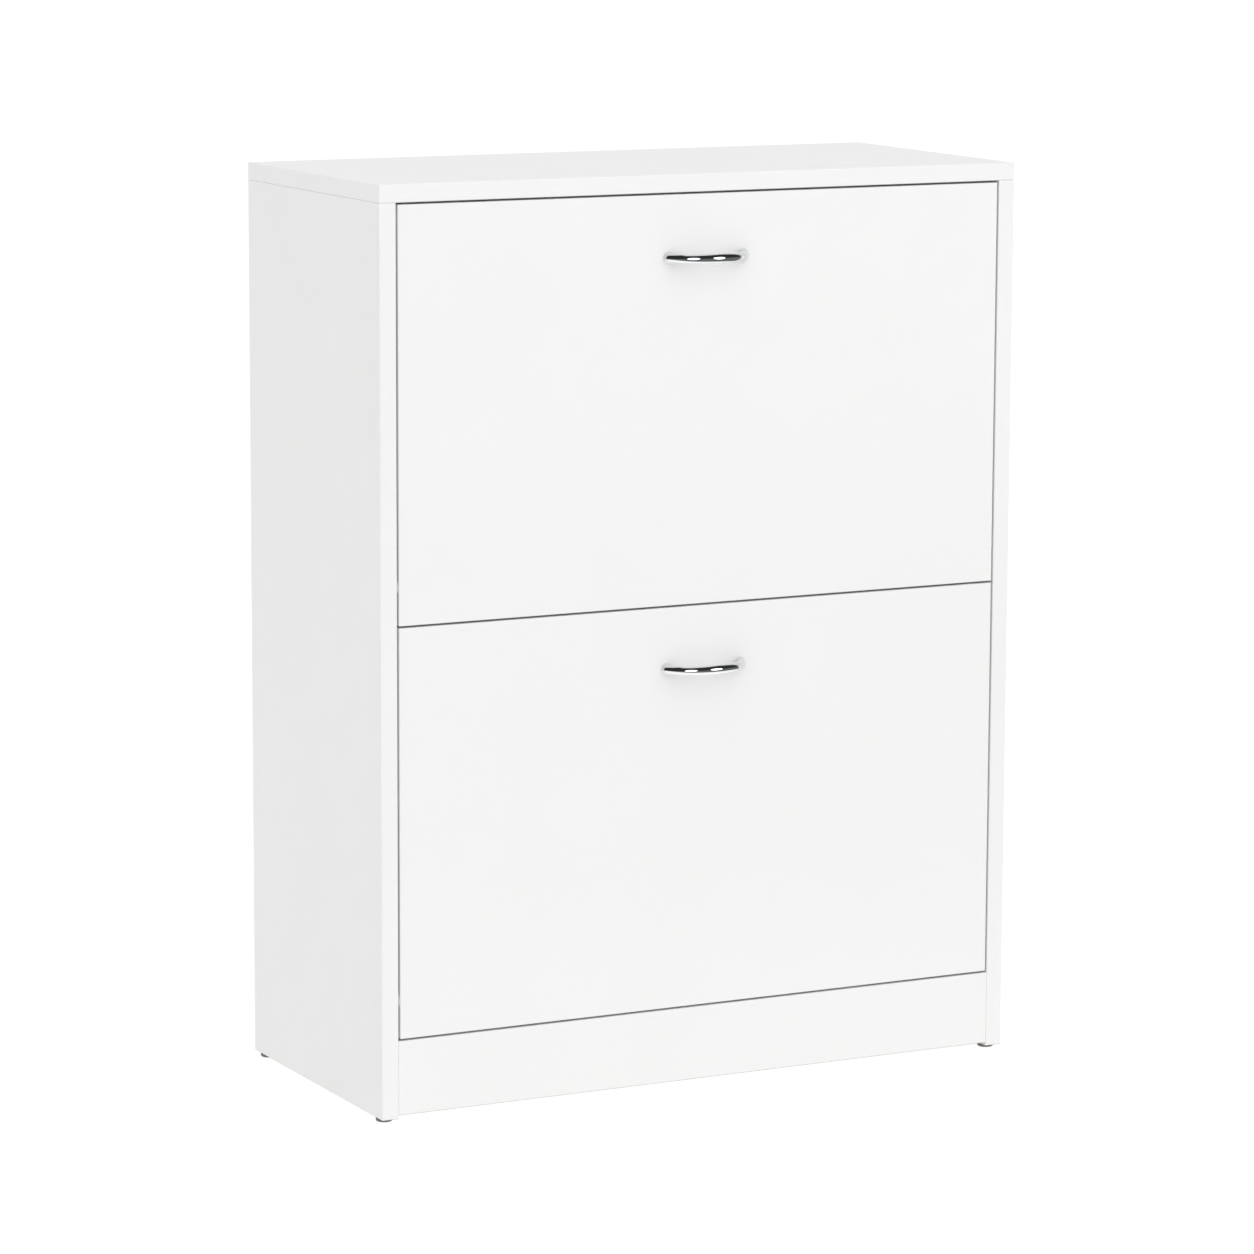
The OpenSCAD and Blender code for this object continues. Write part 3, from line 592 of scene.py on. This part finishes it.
def make_world(reflected):
    """An even white room, brightest in front above the cabinet. Polished metal sees the
    reflected room instead."""
    world = bpy.data.worlds.new("studio")
    world.use_nodes = True
    bpy.context.scene.world = world
    tree = world.node_tree
    tree.nodes.clear()
    way = add(tree, "ShaderNodeTexCoord").outputs["Generated"]
    facing = add(tree, "ShaderNodeVectorMath", {0: way, 1: KEY_WAY},
                 operation="DOT_PRODUCT").outputs["Value"]
    key = sum_of(tree, "POWER", sum_of(tree, "MAXIMUM", facing, 0.0), 2.0)
    soft = sum_of(tree, "MULTIPLY_ADD", key, KEY_LIGHT, ROOM_LIGHT)
    paths = add(tree, "ShaderNodeLightPath").outputs
    sharp = use(tree, reflected, {"Way": way})["Light"]
    light = add(tree, "ShaderNodeMix", {0: paths["Is Glossy Ray"], 2: soft, 3: sharp}).outputs[0]
    lit = add(tree, "ShaderNodeBackground", {"Strength": light})
    add(tree, "ShaderNodeOutputWorld", {"Surface": lit.outputs[0]})


def floor_paint(reflected):
    """The studio's white glowing floor, a little less bright to what stands on it than to the
    eye, so the light comes from above. Polished metal sees the reflected room in it."""
    material, tree, body, place = new_material("floor_paint", Roughness=0.9, Specular_IOR_Level=0.0,
                                               Emission_Strength=1.0)
    mottle = noise(tree, place, 3.0, 3.0)
    tree.links.new(blend_colour(tree, mottle, (0.10, 0.10, 0.10, 1), (0.11, 0.11, 0.11, 1)),
                   body.inputs["Base Color"])
    way = add(tree, "ShaderNodeVectorMath", {0: place, 1: (0, 0, HANDLE_HEIGHT)}, operation="SUBTRACT")
    sharp = use(tree, reflected, {"Way": way.outputs[0]})["Light"]
    paths = add(tree, "ShaderNodeLightPath").outputs
    seen = {0: paths["Is Camera Ray"], 2: FLOOR_GLOW, 3: FLOOR_SEEN}
    soft = add(tree, "ShaderNodeMix", seen).outputs[0]
    light = add(tree, "ShaderNodeMix", {0: paths["Is Glossy Ray"], 2: soft, 3: sharp}).outputs[0]
    tree.links.new(add(tree, "ShaderNodeCombineColor", {0: light, 1: light, 2: light}).outputs[0],
                   body.inputs["Emission Color"])
    return material


# ---- Putting it together ----

def paint(material, *nodes):
    """Gives CAD nodes or new pieces a material."""
    for item in nodes:
        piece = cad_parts[item] if isinstance(item, str) else item
        piece.data.materials.clear()
        piece.data.materials.append(material)


make_camera()
reflected_room = make_reflected_room()
make_world(reflected_room)
make_floor(floor_paint(reflected_room))
bpy.context.scene.view_settings.view_transform = "Standard"

Y, Z = 1, 2
RAW_FACES = {
    "top_panel": [(Y, 1)], "side_panel_left": [(Y, 1), (Z, -1)], "side_panel_right": [(Y, 1), (Z, -1)],
    "bottom_panel": [(Y, 1), (Y, -1)], "middle_shelf": [(Y, 1)], "plinth": [(Z, -1)],
    "front_top_rail": [(Y, 1)], "rear_top_rail": [(Z, -1)],
}
for board, raw_faces in RAW_FACES.items():
    paint(foil_board(board, raw_faces), board)
for back in ("back_panel_upper", "back_panel_lower"):
    paint(hardboard(back), back)

white_plastic = moulded("white_plastic", PLASTIC_WHITE, 0.48, 0.03 * MM)
grey_plastic = moulded("grey_plastic", PLASTIC_GREY, 0.5, 0.03 * MM)
chrome = chrome_plate()
zinc = zinc_plate()
paint(white_plastic, "back_joint_strip")
paint(zinc, "back_panel_nails", "glide_nails", "cam_bolts", "cam_locks")
paint(beech_wood(), "dowels")
felt = felt_cloth()

for corner in ("front_left", "front_right", "rear_left", "rear_right"):
    paint(grey_plastic, glide("tread_" + corner, "glide_" + corner))

for level in ("upper", "lower"):
    flap = level + "_flap"
    paint(foil_board("flap_front_" + level), "flap_front_" + level)
    paint(chrome, bow_handle("bow_handle_" + level, "handle_" + level, flap))
    paint(zinc, "handle_screws_" + level, "rack_screws_" + level)
    paint(white_plastic, "pivot_bushes_" + level)
    paint(felt, "bumpers_" + level)
    for hand in ("left", "right"):
        paint(white_plastic, f"rack_side_{level}_{hand}")
        paint(zinc, f"pivot_pin_{level}_{hand}")
        paint(grey_plastic, f"stop_stud_{level}_{hand}")
    for rack_board in ("floor", "divider", "rear_floor", "rear_board"):
        node = f"rack_{rack_board}_{level}"
        paint(foil_board(node), node)
